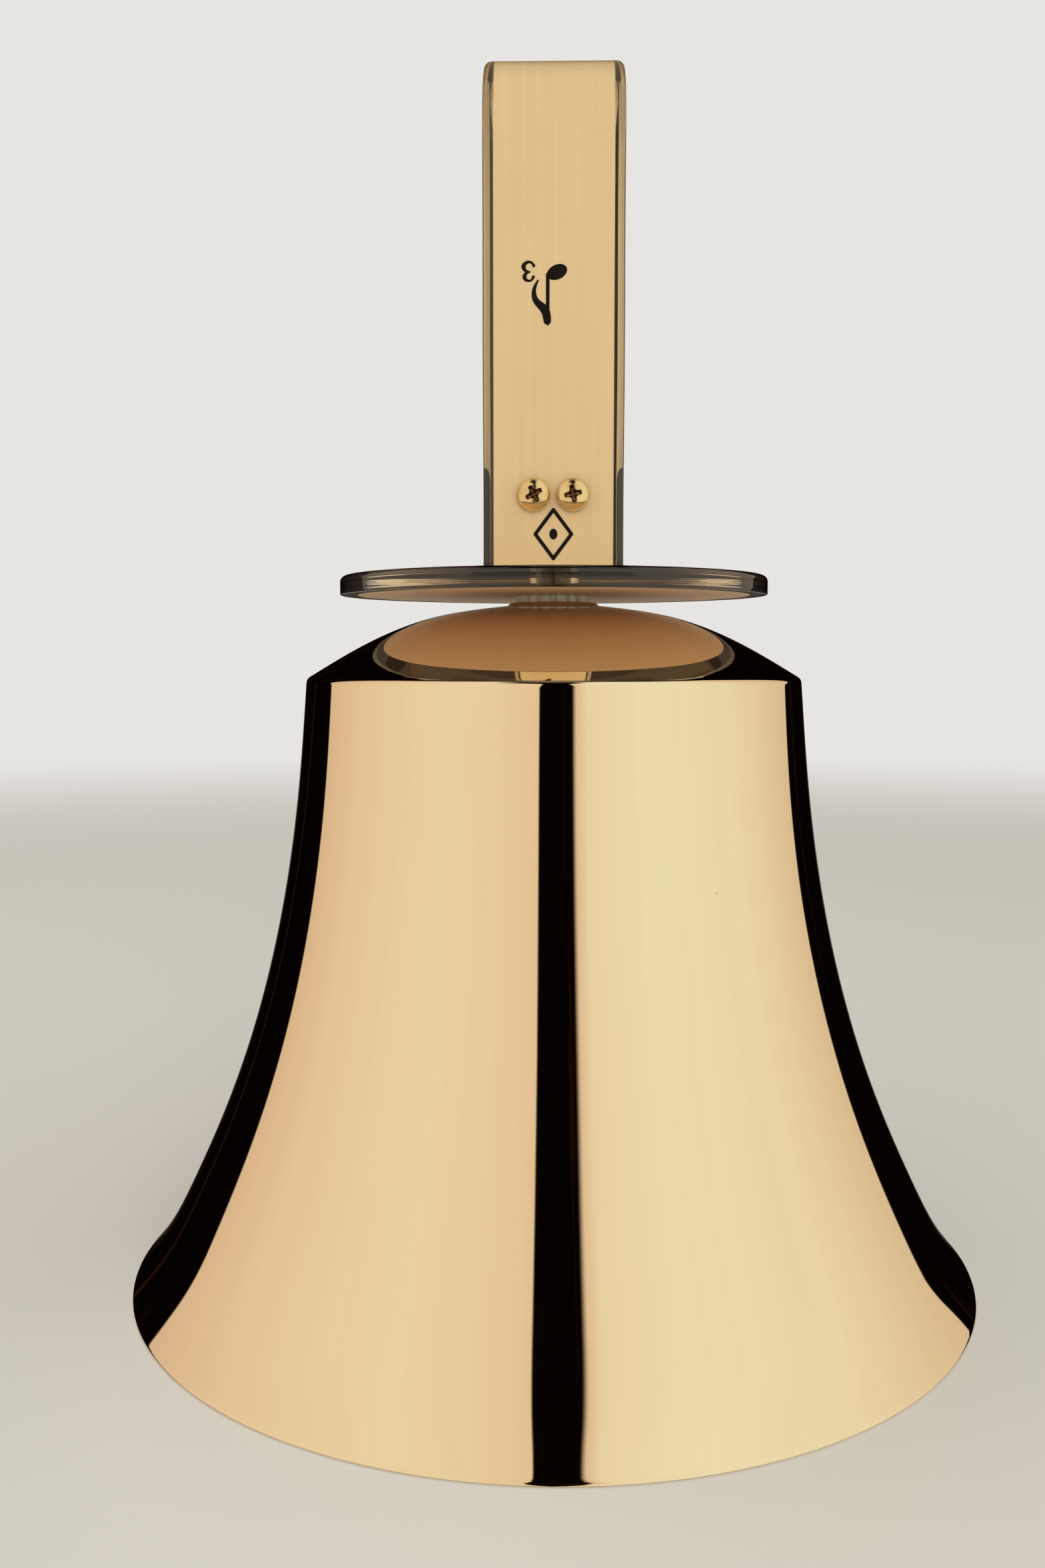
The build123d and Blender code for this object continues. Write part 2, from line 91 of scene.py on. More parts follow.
class Paint:
    # The nodes of one material or world.
    def __init__(self, owner):
        owner.use_nodes = True
        self.owner = owner
        self.tree = owner.node_tree
        self.tree.nodes.clear()

    def node(self, kind, settings=None, values=None, output=0):
        made = self.tree.nodes.new("ShaderNode" + kind)
        for name, value in (settings or {}).items():
            if name == "stops":
                self.setStops(made.color_ramp, value)
            else:
                setattr(made, name, value)
        for name, value in (values or {}).items():
            target = made.inputs[name]
            if isinstance(value, Wire):
                self.tree.links.new(value.socket, target)
            elif target.type == "RGBA":
                target.default_value = (*value, 1.0)
            else:
                target.default_value = value
        return Wire(self, made.outputs[output]) if len(made.outputs) else made

    def setStops(self, ramp, stops):
        while len(ramp.elements) < len(stops):
            ramp.elements.new(1.0)
        for element, (place, colour) in zip(ramp.elements, stops):
            element.position = place
            element.color = (*colour, 1.0)

    def maths(self, operation, *values):
        return self.node("Math", {"operation": operation}, dict(enumerate(values)))

    def step(self, value, low, high):
        # 0 up to low, 1 from high on, and a smooth rise between.
        return self.node("MapRange", {"interpolation_type": "SMOOTHSTEP"},
                         {"Value": value, "From Min": low, "From Max": high})

    def mix(self, factor, first, second):
        return self.node("Mix", {"data_type": "RGBA"}, {0: factor, 6: first, 7: second}, 2)

    def place(self, stretch=(1, 1, 1)):
        spot = self.node("TexCoord", output="Object")
        return self.node("Mapping", {}, {"Vector": spot, "Scale": stretch})

    def noise(self, where, scale, detail=3.0, roughness=0.5):
        return self.node("TexNoise", {}, {"Vector": where, "Scale": scale, "Detail": detail,
                                          "Roughness": roughness})

    def bump(self, height, distance, normal=None):
        values = {"Height": height, "Distance": distance, "Strength": 1.0}
        if normal:
            values["Normal"] = normal
        return self.node("Bump", {}, values)

    def finish(self, shader):
        kind = "OutputWorld" if isinstance(self.owner, bpy.types.World) else "OutputMaterial"
        self.node(kind, {}, {"Surface": shader})
        return self.owner


def newPaint(name):
    return Paint(bpy.data.materials.new(name))


# Mesh tools.

def smoothCurve(points, count):
    # Natural cubic spline through the points. Its parameter is the chord length, and each piece
    # is the cubic whose slope and bend carry on from its neighbour's.
    points = np.asarray(points, float)
    steps = np.linalg.norm(np.diff(points, axis=0), axis=1)
    knots = np.concatenate([[0], np.cumsum(steps)])
    last = len(points) - 1
    inner = np.arange(1, last)
    matrix = np.eye(last + 1)
    matrix[inner, inner - 1] = steps[:-1]
    matrix[inner, inner] = 2 * (steps[:-1] + steps[1:])
    matrix[inner, inner + 1] = steps[1:]
    target = np.zeros_like(points)
    target[inner] = 6 * np.diff(np.diff(points, axis=0) / steps[:, None], axis=0)
    bends = np.linalg.solve(matrix, target)
    where = np.linspace(0, knots[-1], count)
    piece = np.clip(np.searchsorted(knots, where, side="right") - 1, 0, last - 1)
    before = (knots[piece + 1] - where)[:, None]
    after = (where - knots[piece])[:, None]
    length = steps[piece][:, None]
    curve = (bends[piece] * before**3 + bends[piece + 1] * after**3) / (6 * length)
    curve += (points[piece] / length - bends[piece] * length / 6) * before
    curve += (points[piece + 1] / length - bends[piece + 1] * length / 6) * after
    return curve


def roundCorner(first, second, radius, count=9):
    # Two curves that share a corner are cut back by the radius times the tangent of half the
    # turn. The arc between is ((1-t)^2 A + 2wt(1-t) C + t^2 B) over the sum of its weights,
    # where w is the cosine of half the turn.
    corner = first[-1]
    into = (corner - first[-2]) / np.linalg.norm(corner - first[-2])
    out = (second[1] - corner) / np.linalg.norm(second[1] - corner)
    half = np.arccos(np.clip(into @ out, -1, 1)) / 2
    reach = radius * np.tan(half)
    start, stop = corner - into * reach, corner + out * reach
    t = np.linspace(0, 1, count)[:, None]
    weights = (1 - t) ** 2, 2 * np.cos(half) * t * (1 - t), t**2
    arc = (weights[0] * start + weights[1] * corner + weights[2] * stop) / sum(weights)
    kept = first[np.linalg.norm(first - corner, axis=1) > reach * 1.05]
    rest = second[np.linalg.norm(second - corner, axis=1) > reach * 1.05]
    return np.concatenate([kept, arc, rest])


def gridMesh(name, points, closed=(False, True), finishOf=None, uv=None):
    # points[i, j] is the surface at its two parameters. Each face joins four neighbours, and a
    # closed direction joins its last row to its first. The signed volume, a third of the sum
    # of corner times face area, says whether the faces point outwards.
    rows, columns = points.shape[:2]
    i = np.arange(rows if closed[0] else rows - 1)
    j = np.arange(columns if closed[1] else columns - 1)
    i, j = (grid.ravel()[:, None] for grid in np.meshgrid(i, j, indexing="ij"))
    i, j = i + np.array([0, 1, 1, 0]), j + np.array([0, 0, 1, 1])
    flat = points.reshape(-1, 3)
    faces = (i % rows) * columns + j % columns
    a, b, c, d = (flat[faces[:, k]] for k in range(4))
    volume = np.einsum("ij,ij->", a, np.cross(b - a, c - a) + np.cross(c - a, d - a))
    if volume < 0:
        faces, i, j = faces[:, ::-1], i[:, ::-1], j[:, ::-1]
    mesh = bpy.data.meshes.new(name)
    mesh.from_pydata(flat.tolist(), [], faces.tolist())
    if finishOf is not None:
        mesh.polygons.foreach_set("material_index", finishOf[i.min(1)].astype(np.int32))
    if uv is not None:
        layer = mesh.uv_layers.new(name="UVMap")
        layer.data.foreach_set("uv", uv[i, j].reshape(-1).astype(np.float32))
    return weld(mesh)


def weld(mesh, distance=1e-7):
    work = bmesh.new()
    work.from_mesh(mesh)
    bmesh.ops.remove_doubles(work, verts=work.verts, dist=distance)
    work.to_mesh(mesh)
    work.free()
    return mesh


def joinMeshes(name, meshes):
    work = bmesh.new()
    for mesh in meshes:
        work.from_mesh(mesh)
        bpy.data.meshes.remove(mesh)
    joined = bpy.data.meshes.new(name)
    work.to_mesh(joined)
    work.free()
    return joined


def turned(profile, segments):
    # A closed outline of radius and height carried round the Z axis:
    # (r cos a, r sin a, z).
    angle = np.linspace(0, 2 * np.pi, segments, endpoint=False)
    return np.stack([profile[:, :1] * np.cos(angle), profile[:, :1] * np.sin(angle),
                     np.repeat(profile[:, 1:], segments, axis=1)], -1)


def addPiece(name, mesh, finishes, body, standsFor=(), sharp=32):
    for finish in finishes:
        mesh.materials.append(finish)
    mesh.shade_smooth()
    mesh.set_sharp_from_angle(angle=math.radians(sharp))
    piece = bpy.data.objects.new(name, mesh)
    bpy.context.scene.collection.objects.link(piece)
    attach(piece, body)
    if standsFor:
        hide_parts(*standsFor)
    print(name, len(mesh.polygons), "faces")
    return piece


# Metals.

bronzeLook = {
    "colour": (0.95, 0.78, 0.55),
    "shade": (0.93, 0.745, 0.51),
    "roughness": (0.012, 0.035),
    "speck": (0.16, 0.07, 0.03),
    "speckSize": 0.02,
    "speckScale": 130,
    "speckAbove": 0.93,
    "speckRoughness": 0.3,
    "patchScale": 14,
    "wipeStretch": (60, 60, 9),
    "turnedColour": (0.55, 0.36, 0.19),
    "turnedDark": (0.34, 0.2, 0.095),
    "turnedRoughness": (0.26, 0.42),
    "ringStretch": (4, 4, 1500),
    "ringDepth": 0.05 * mm,
    "stainScale": 28,
}


def polishedBronze():
    paint = newPaint("polished_bronze")
    patches = paint.noise(paint.place(), bronzeLook["patchScale"], 3)
    colour = paint.mix(patches, bronzeLook["colour"], bronzeLook["shade"])
    grid = {"Vector": paint.place(), "Scale": bronzeLook["speckScale"]}
    cells = paint.node("TexVoronoi", {}, grid)
    lone = paint.node("TexVoronoi", {}, grid, "Color")
    rare = paint.node("SeparateColor", {}, {"Color": lone}) > bronzeLook["speckAbove"]
    speck = (cells < bronzeLook["speckSize"]) * rare
    wiping = paint.noise(paint.place(bronzeLook["wipeStretch"]), 3, 4)
    low, high = bronzeLook["roughness"]
    return paint.finish(paint.node("BsdfPrincipled", {}, {
        "Base Color": paint.mix(speck, colour, bronzeLook["speck"]),
        "Metallic": 1.0,
        "Roughness": low + (high - low) * wiping + bronzeLook["speckRoughness"] * speck}))


def turnedBronze():
    paint = newPaint("turned_bronze")
    rings = paint.noise(paint.place(bronzeLook["ringStretch"]), 1.0, 2)
    stain = paint.noise(paint.place(), bronzeLook["stainScale"], 5, 0.6)
    low, high = bronzeLook["turnedRoughness"]
    return paint.finish(paint.node("BsdfPrincipled", {}, {
        "Base Color": paint.mix(paint.step(stain, 0.35, 0.75), bronzeLook["turnedColour"],
                                bronzeLook["turnedDark"]),
        "Metallic": 1.0,
        "Roughness": low + (high - low) * stain,
        "Normal": paint.bump(rings, bronzeLook["ringDepth"])}))


metalLook = {
    "filmScale": 160,
    "markStretch": (1, 1, 6),
    "markDepth": 0.006 * mm,
    "edge": 0.25 * mm,
}


def workedMetal(name, colour, dark, roughness, grain=900):
    # Bright metal with fine tool marks, slightly rounded edges and a duller film in patches.
    paint = newPaint(name)
    film = paint.noise(paint.place(), metalLook["filmScale"], 4)
    marks = paint.noise(paint.place(metalLook["markStretch"]), grain, 2)
    rounded = paint.node("Bevel", {"samples": 4}, {"Radius": metalLook["edge"]})
    low, high = roughness
    return paint.finish(paint.node("BsdfPrincipled", {}, {
        "Base Color": paint.mix(paint.step(film, 0.4, 0.8), colour, dark),
        "Metallic": 1.0,
        "Roughness": low + (high - low) * film,
        "Normal": paint.bump(marks, metalLook["markDepth"], rounded)}))


# Plastics and soft finishes.

clearLook = {
    "acrylic": (0.975, 0.97, 0.955),
    "vinyl": (0.985, 0.975, 0.95),
    "milky": (0.93, 0.9, 0.74),
    "index": 1.49,
    "scratch": 0.03,
    "scratchScale": 700,
    "scratchStretch": (1, 1, 12),
    "scratchFrom": (0.66, 0.72),
    "roughness": 0.004,
    "washerClarity": 0.45,
    "shadow": (0.93, 0.92, 0.9),
}


def clearPlastic(name, tint, scratches, clarity=1.0):
    # Clear plastic with fine scratches, milky where the clarity is below 1. Light for what is
    # inside passes straight through.
    paint = newPaint(name)
    fine = paint.noise(paint.place(clearLook["scratchStretch"]), clearLook["scratchScale"], 2)
    line = paint.step(fine, *clearLook["scratchFrom"]) * scratches
    clear = paint.node("BsdfPrincipled", {}, {
        "Base Color": tint,
        "Roughness": clearLook["roughness"] + line,
        "IOR": clearLook["index"],
        "Transmission Weight": clarity})
    straight = paint.node("BsdfTransparent", {}, {"Color": clearLook["shadow"]})
    shadow = paint.node("LightPath", output="Is Shadow Ray")
    diffuse = paint.node("LightPath", output="Is Diffuse Ray")
    lamp = paint.maths("MAXIMUM", shadow, diffuse)
    return paint.finish(paint.node("MixShader", {}, {0: lamp, 1: clear, 2: straight}))


mouldedLook = {
    "mottleScale": 90,
    "edge": 0.3 * mm,
}


def moulded(name, colour, pale, roughness, grain=1400, depth=0.012):
    # Moulded plastic: a faint mottle in the colour and a fine grain.
    paint = newPaint(name)
    mottle = paint.noise(paint.place(), mouldedLook["mottleScale"], 4)
    skin = paint.noise(paint.place(), grain, 2)
    rounded = paint.node("Bevel", {"samples": 4}, {"Radius": mouldedLook["edge"]})
    low, high = roughness
    return paint.finish(paint.node("BsdfPrincipled", {}, {
        "Base Color": paint.mix(mottle, colour, pale),
        "Roughness": low + (high - low) * mottle,
        "Normal": paint.bump(skin, depth * mm, rounded)}))


sheetLook = {
    "colour": (0.9, 0.66, 0.46),
    "shade": (0.86, 0.61, 0.41),
    "roughness": (0.28, 0.38),
    "grainDepth": 0.006 * mm,
}


def creamSheet():
    paint = newPaint("cream_sheet")
    cloud = paint.noise(paint.place(), 35, 4)
    low, high = sheetLook["roughness"]
    return paint.finish(paint.node("BsdfPrincipled", {}, {
        "Base Color": paint.mix(cloud, sheetLook["colour"], sheetLook["shade"]),
        "Roughness": low + (high - low) * cloud,
        "Normal": paint.bump(paint.noise(paint.place(), 900, 2), sheetLook["grainDepth"])}))


coreLook = {
    "colour": (0.83, 0.645, 0.385),
    "shade": (0.765, 0.56, 0.315),
    "roughness": (0.3, 0.42),
    "brushDepth": 0.012 * mm,
    "fineStretch": (14, 2600, 1),
    "broadStretch": (5, 420, 1),
    "cloudStretch": (30, 60, 1),
}


def brushedCore():
    # Fine lines along the strip: noise on its own lengthwise map, squeezed across and drawn
    # out along.
    paint = newPaint("brushed_cream")
    along = paint.node("UVMap", {"uv_map": "UVMap"})
    fine, broad, cloud = (
        paint.noise(paint.node("Mapping", {}, {"Vector": along, "Scale": coreLook[stretch]}), 1.0, detail)
        for stretch, detail in (("fineStretch", 3), ("broadStretch", 2), ("cloudStretch", 3)))
    tone = 0.35 * fine + 0.4 * broad + 0.25 * cloud
    low, high = coreLook["roughness"]
    return paint.finish(paint.node("BsdfPrincipled", {}, {
        "Base Color": paint.mix(paint.step(tone, 0.25, 0.75), coreLook["colour"], coreLook["shade"]),
        "Roughness": low + (high - low) * fine,
        "Normal": paint.bump(fine, coreLook["brushDepth"])}))


def printInk():
    paint = newPaint("print_ink")
    thin = paint.noise(paint.place(), 1800, 3)
    return paint.finish(paint.node("BsdfPrincipled", {}, {
        "Base Color": paint.mix(thin, (0.004, 0.003, 0.003), (0.014, 0.01, 0.008)),
        "Roughness": 0.32 + 0.1 * thin}))


def leather():
    paint = newPaint("tan_leather")
    grain = paint.node("TexVoronoi", {"feature": "DISTANCE_TO_EDGE"},
                       {"Vector": paint.place(), "Scale": 1300})
    cloud = paint.noise(paint.place(), 120, 4)
    return paint.finish(paint.node("BsdfPrincipled", {}, {
        "Base Color": paint.mix(cloud, (0.3, 0.14, 0.06), (0.2, 0.085, 0.035)),
        "Roughness": 0.55 + 0.2 * cloud,
        "Normal": paint.bump(paint.step(grain, 0.0, 0.12), 0.05 * mm)}))


def felt():
    paint = newPaint("pressed_felt")
    fibre = paint.noise(paint.place(), 2600, 5, 0.75)
    cloud = paint.noise(paint.place(), 150, 3)
    return paint.finish(paint.node("BsdfPrincipled", {}, {
        "Base Color": paint.mix(0.5 * fibre + 0.5 * cloud, (0.82, 0.77, 0.66), (0.58, 0.53, 0.44)),
        "Roughness": 0.85 + 0.1 * fibre,
        "Sheen Weight": 0.4,
        "Normal": paint.bump(fibre, 0.12 * mm)}))


finishes = {
    "bronze": polishedBronze(),
    "clear_plastic": clearPlastic("clear_acrylic", clearLook["acrylic"], clearLook["scratch"]),
    "cream_plastic": creamSheet(),
    "black_nylon": moulded("black_nylon", (0.012, 0.012, 0.013), (0.02, 0.02, 0.021), (0.38, 0.55)),
    "white_nylon": moulded("white_nylon", (0.78, 0.75, 0.68), (0.72, 0.69, 0.61), (0.35, 0.5)),
    "steel": workedMetal("zinc_steel", (0.6, 0.59, 0.57), (0.42, 0.42, 0.42), (0.18, 0.36)),
    "brass": workedMetal("plain_brass", (0.83, 0.6, 0.28), (0.66, 0.44, 0.18), (0.14, 0.28)),
    "leather": leather(),
    "felt": felt(),
    "rubber": moulded("firm_rubber", (0.022, 0.022, 0.022), (0.035, 0.034, 0.033), (0.6, 0.8), 900, 0.04),
    "hard_plastic": moulded("hard_plastic", (0.8, 0.77, 0.7), (0.75, 0.71, 0.62), (0.2, 0.32)),
}
for node in cadNodes.values():
    slotName = node.data.materials[0].name
    node.data.materials[0] = finishes[slotName]
print("finishes made")


# The bell.

bell = {
    "mouthRadius": 115.2,
    "shoulderRadius": 66.4,
    "shoulderHeight": 162.7,
    "crownHeight": 183.0,
    "bossRadius": 12.4,
    "bossRise": 0.8,
    "boltHole": 4.95,
    "wall": 2.8,
    "lipWall": 3.6,
    "lipFace": 4.86,
    "crownWall": 4.2,
    "seatRadius": 17.0,
    "shoulderRound": 2.0,
    "lipRound": 0.765,
    "flareGain": 0.22,
    "waist": [(0, 0), (0.186, 0.054), (0.484, 0.228), (0.692, 0.447), (0.851, 0.679), (0.95, 0.864),
              (1, 1)],
    "crown": [(0, 0), (0.39, 0.175), (0.70, 0.515), (1, 1)],
    "segments": 288,
}


def bellProfile():
    # Radius and height round the whole section: out over the crown, down the waist, round the
    # lip and back up the inside. The waist and crown are splines through shares of the way
    # down and out, and the inner curves stand in from them by the wall.
    domeTop = bell["crownHeight"] - bell["bossRise"]
    domeDrop = domeTop - bell["shoulderHeight"]
    flare = bell["mouthRadius"] - bell["shoulderRadius"]
    spread = bell["shoulderRadius"] - bell["bossRadius"]
    down, out = np.array(bell["waist"]).T
    waist = np.stack([bell["shoulderRadius"] + flare * out, bell["shoulderHeight"] * (1 - down)], -1)
    wall = (bell["wall"] + (bell["lipWall"] - bell["wall"]) * down) * (1 + bell["flareGain"] * out)
    innerWaist = waist - np.stack([wall, 0 * wall], -1)
    cornerHeight = bell["shoulderHeight"] - bell["crownWall"]
    innerWaist[0] = bell["shoulderRadius"] - bell["wall"], cornerHeight
    innerWaist[-1] = bell["mouthRadius"] - bell["lipFace"], 0
    share, fall = np.array(bell["crown"]).T
    crown = np.stack([bell["bossRadius"] + spread * share, domeTop - domeDrop * fall], -1)
    innerCrown = crown - [0, bell["crownWall"]]
    innerCrown[0] = bell["seatRadius"], bell["crownHeight"] - bell["crownWall"]
    innerCrown[-1] = innerWaist[0]

    boss = np.array([[bell["boltHole"], bell["crownHeight"]],
                     [bell["bossRadius"] - bell["bossRise"], bell["crownHeight"]],
                     crown[0]])
    lip = np.linspace(waist[-1], innerWaist[-1], 12)
    curve = roundCorner(smoothCurve(crown, 60), smoothCurve(waist, 150), bell["shoulderRound"], 15)
    curve = roundCorner(curve, lip, bell["lipRound"])
    outside = len(curve) - len(lip) // 2
    curve = roundCorner(curve, smoothCurve(innerWaist[::-1], 90), bell["lipRound"])
    curve = roundCorner(curve, smoothCurve(innerCrown[::-1], 50), bell["shoulderRound"], 11)
    seat = np.array([[bell["boltHole"], bell["crownHeight"] - bell["crownWall"]]])
    return np.concatenate([boss[:-1], curve, seat]) * mm, outside + 2


profile, outside = bellProfile()
inside = np.arange(len(profile)) >= outside
addPiece("bell_shell", gridMesh("bell_shell", turned(profile, bell["segments"]), (True, True), inside),
         [finishes["bronze"], turnedBronze()], "bell", ["casting"])


# Hand guard and toothed washer.

guard = {
    "topRound": 1.6 * mm,
    "bottomRound": 0.25 * mm,
    "clearance": 0.03 * mm,
    "segments": 900,
}


def guardProfile():
    # Section of the disc: flat top with a rounded rim, and a recess below for the backing.
    low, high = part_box("hand_guard")
    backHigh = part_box("guard_backing")[1]
    hole = bell["boltHole"] * mm
    gap = guard["clearance"]
    top = np.linspace((hole, high.z), (high.x, high.z), 8)
    side = np.linspace((high.x, high.z), (high.x, low.z), 6)
    bottom = np.linspace((high.x, low.z), (backHigh.x + gap, low.z), 4)
    curve = roundCorner(top, side, guard["topRound"], 11)
    curve = roundCorner(curve, bottom, guard["bottomRound"], 5)
    recess = np.array([[backHigh.x + gap, backHigh.z + gap], [hole, backHigh.z + gap]])
    return np.concatenate([curve, recess])


addPiece("guard_disc", gridMesh("guard_disc", turned(guardProfile(), guard["segments"]), (True, True)),
         [finishes["clear_plastic"]], "bell", ["hand_guard"])

spacer = {
    "teeth": 18,
    "rootRadius": 8.5 * mm,
    "flank": 0.16,
    "edge": 0.12 * mm,
    "perTooth": 24,
}


def toothedWasher():
    # The rim's radius goes between root and tip as a square wave with sloping flanks:
    # root + (tip - root) * clip((cos(teeth * a)) / flank).
    low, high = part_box("crown_spacer")
    angle = np.linspace(0, 2 * np.pi, spacer["teeth"] * spacer["perTooth"], endpoint=False)
    wave = np.clip(np.cos(spacer["teeth"] * angle) / spacer["flank"], -1, 1) / 2 + 0.5
    rim = spacer["rootRadius"] + (high.x - spacer["rootRadius"]) * wave
    hole = np.full_like(rim, bell["boltHole"] * mm)
    edge = spacer["edge"]
    gap = guard["clearance"]
    bottom, top = low.z + gap, high.z - gap
    rings = [(hole, bottom), (rim - edge, bottom), (rim, bottom + edge), (rim, top - edge),
             (rim - edge, top), (hole, top)]
    return np.stack([np.stack([r * np.cos(angle), r * np.sin(angle), np.full_like(r, z)], -1)
                     for r, z in rings])


milkyPlastic = clearPlastic("milky_plastic", clearLook["milky"], clearLook["scratch"],
                            clearLook["washerClarity"])
addPiece("toothed_washer", gridMesh("toothed_washer", toothedWasher(), (True, True)),
         [milkyPlastic], "bell", ["crown_spacer"], 20)


# Strap.

strap = {
    "coreWidth": 30.4 * mm,
    "coreThickness": 1.8 * mm,
    "jacketThickness": 4.6 * mm,
    "jacketRound": 1.9 * mm,
    "coreRound": 0.35 * mm,
    "endRound": 0.35 * mm,
    "waviness": 0.22 * mm,
    "waves": (55, 21),
    "legRows": 70,
    "bendRows": 160,
}
jacketLow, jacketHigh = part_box("handle_jacket")
bendOutside = jacketHigh.y
bendHeight = jacketHigh.z - bendOutside
middleRadius = bendOutside - strap["jacketThickness"] / 2


def roundedOutline(width, thickness, radius, perCorner=8):
    # A rectangle with its corners as quarter circles, from four corner centres.
    quarter = np.linspace(0, np.pi / 2, perCorner)
    corners = [(1, 1, 0), (-1, 1, 1), (-1, -1, 2), (1, -1, 3)]
    parts = []
    for side, face, step in corners:
        angle = quarter + step * np.pi / 2
        parts.append(np.stack([side * (width / 2 - radius) + radius * np.cos(angle),
                               face * (thickness / 2 - radius) + radius * np.sin(angle)], -1))
    topRun = np.linspace(parts[0][-1], parts[1][0], 14)[1:-1]
    bottomRun = np.linspace(parts[2][-1], parts[3][0], 14)[1:-1]
    return np.concatenate([parts[0], topRun, parts[1], parts[2], bottomRun, parts[3]])


def strapLine(bottom):
    # The middle line up the front leg, round the half circle and down the back leg, with the
    # direction away from the loop's inside and the length so far.
    leg = np.linspace(bottom, bendHeight, strap["legRows"])[:-1]
    angle = np.linspace(np.pi, 0, strap["bendRows"])
    bend = np.stack([middleRadius * np.cos(angle), bendHeight + middleRadius * np.sin(angle)], -1)
    ones = np.ones_like(leg)
    line = np.concatenate([np.stack([-middleRadius * ones, leg], -1), bend,
                           np.stack([middleRadius * ones, leg[::-1]], -1)])
    outward = np.concatenate([np.stack([-ones, 0 * ones], -1),
                              np.stack([np.cos(angle), np.sin(angle)], -1),
                              np.stack([ones, 0 * ones], -1)])
    length = np.concatenate([[0], np.cumsum(np.linalg.norm(np.diff(line, axis=0), axis=1))])
    return line, outward, length


def strapSweep(width, thickness, radius, waviness):
    # The outline carried along the middle line: across stays X, and thickness goes along the
    # outward direction. The ends are rounded over and closed on the middle line.
    line, outward, length = strapLine(jacketLow.z)
    outline = roundedOutline(width, thickness, radius)
    smaller = roundedOutline(width - 2 * strap["endRound"], thickness - 2 * strap["endRound"],
                             max(radius - strap["endRound"], 0.1 * mm))
    closing = smaller * [1, 0]
    inner = np.broadcast_to(outline, (len(line) - 2, *outline.shape))
    sections = np.concatenate([[closing, smaller], inner, [smaller, closing]])
    rows = np.concatenate([[0], np.arange(len(line)), [len(line) - 1]])
    line, outward, length = line[rows], outward[rows], length[rows]
    line[2, 1] = line[1, 1] + strap["endRound"]
    line[-3, 1] = line[-2, 1] + strap["endRound"]
    quick, slow = strap["waves"]
    narrow = 1 - waviness / width * (1 + np.sin(length * quick + 0.6) * np.cos(length * slow))
    across = sections[..., 0] * narrow[:, None]
    away = sections[..., 1]
    points = np.stack([across,
                       line[:, :1] + outward[:, :1] * away,
                       line[:, 1:] + outward[:, 1:] * away], -1)
    around = np.concatenate([outline[:, 0], outline[:1, 0]])
    uv = np.stack(np.broadcast_arrays(length[:, None], around[None]), -1)
    return points, uv


jacketPoints, _ = strapSweep(jacketHigh.x - jacketLow.x, strap["jacketThickness"],
                             strap["jacketRound"], strap["waviness"])
addPiece("strap_jacket", gridMesh("strap_jacket", jacketPoints),
         [clearPlastic("clear_vinyl", clearLook["vinyl"], clearLook["scratch"])],
         "bell", ["handle_jacket"], 60)
corePoints, coreMap = strapSweep(strap["coreWidth"], strap["coreThickness"], strap["coreRound"], 0)
addPiece("strap_core", gridMesh("strap_core", corePoints, uv=coreMap), [brushedCore()],
         "bell", ["handle_core"], 40)


# Print on the strap.

marks = {
    "lift": 0.02 * mm,
    "thickness": 0.05 * mm,
    "noteHeight": 14.7 * mm,
    "notePlace": (0.8 * mm, 259.0 * mm),
    "numberHeight": 5.0 * mm,
    "numberPlace": (-6.4 * mm, 264.6 * mm),
    "badgePlace": (0.0, 198.6 * mm),
    "badgeHeight": 17.0 * mm,
}
coreFace = -(middleRadius + strap["coreThickness"] / 2)


def stroke(points, widths, count=40):
    # A pen stroke: the spline's points moved by half the width to each side of its direction,
    # with a half circle round each end.
    line = smoothCurve(points, count)
    along = np.gradient(line, axis=0)
    along /= np.linalg.norm(along, axis=1)[:, None]
    side = np.stack([-along[:, 1], along[:, 0]], -1)
    half = np.interp(np.linspace(0, 1, count), np.linspace(0, 1, len(widths)), widths)[:, None] / 2
    angle = np.linspace(0, np.pi, 9)[1:-1, None]
    endCap = line[-1] + half[-1] * (np.cos(angle) * side[-1] + np.sin(angle) * along[-1])
    startCap = line[0] - half[0] * (np.cos(angle) * side[0] + np.sin(angle) * along[0])
    return np.concatenate([line + side * half, endCap, (line - side * half)[::-1], startCap])


def oval(centre, size, tilt, count=40):
    # An ellipse: (cos, sin) of the angle, scaled, then turned by the tilt.
    angle = np.linspace(0, 2 * np.pi, count, endpoint=False)
    x, y = np.cos(angle) * size[0] / 2, np.sin(angle) * size[1] / 2
    c, s = math.cos(math.radians(tilt)), math.sin(math.radians(tilt))
    return np.stack([centre[0] + x * c - y * s, centre[1] + x * s + y * c], -1)


def quaver():
    # A plain quaver one unit tall, upright: head, stem and flag.
    head = oval((0.0, 0.13), (0.36, 0.245), 24)
    stem = stroke([(0.158, 0.17), (0.158, 0.58), (0.158, 0.985)], [0.062, 0.062], 6)
    flag = stroke([(0.165, 0.94), (0.21, 0.76), (0.36, 0.6), (0.385, 0.4), (0.325, 0.27)],
                  [0.13, 0.15, 0.11, 0.07, 0.03])
    return [head, stem, flag]


def numeral():
    # A plain 3 one unit tall: two bowls met at the waist, with a ball at each end.
    upper = stroke([(-0.26, 0.78), (-0.12, 0.94), (0.08, 0.93), (0.19, 0.76), (0.09, 0.58),
                    (-0.06, 0.52)],
                   [0.13, 0.11, 0.14, 0.22, 0.16, 0.1])
    lower = stroke([(-0.06, 0.53), (0.12, 0.47), (0.24, 0.28), (0.11, 0.08), (-0.12, 0.05),
                    (-0.28, 0.21)],
                   [0.1, 0.16, 0.23, 0.16, 0.12, 0.13])
    ends = [oval(spot, (0.16, 0.16), 0, 20) for spot in ((-0.25, 0.77), (-0.27, 0.22))]
    return [upper, lower, *ends]


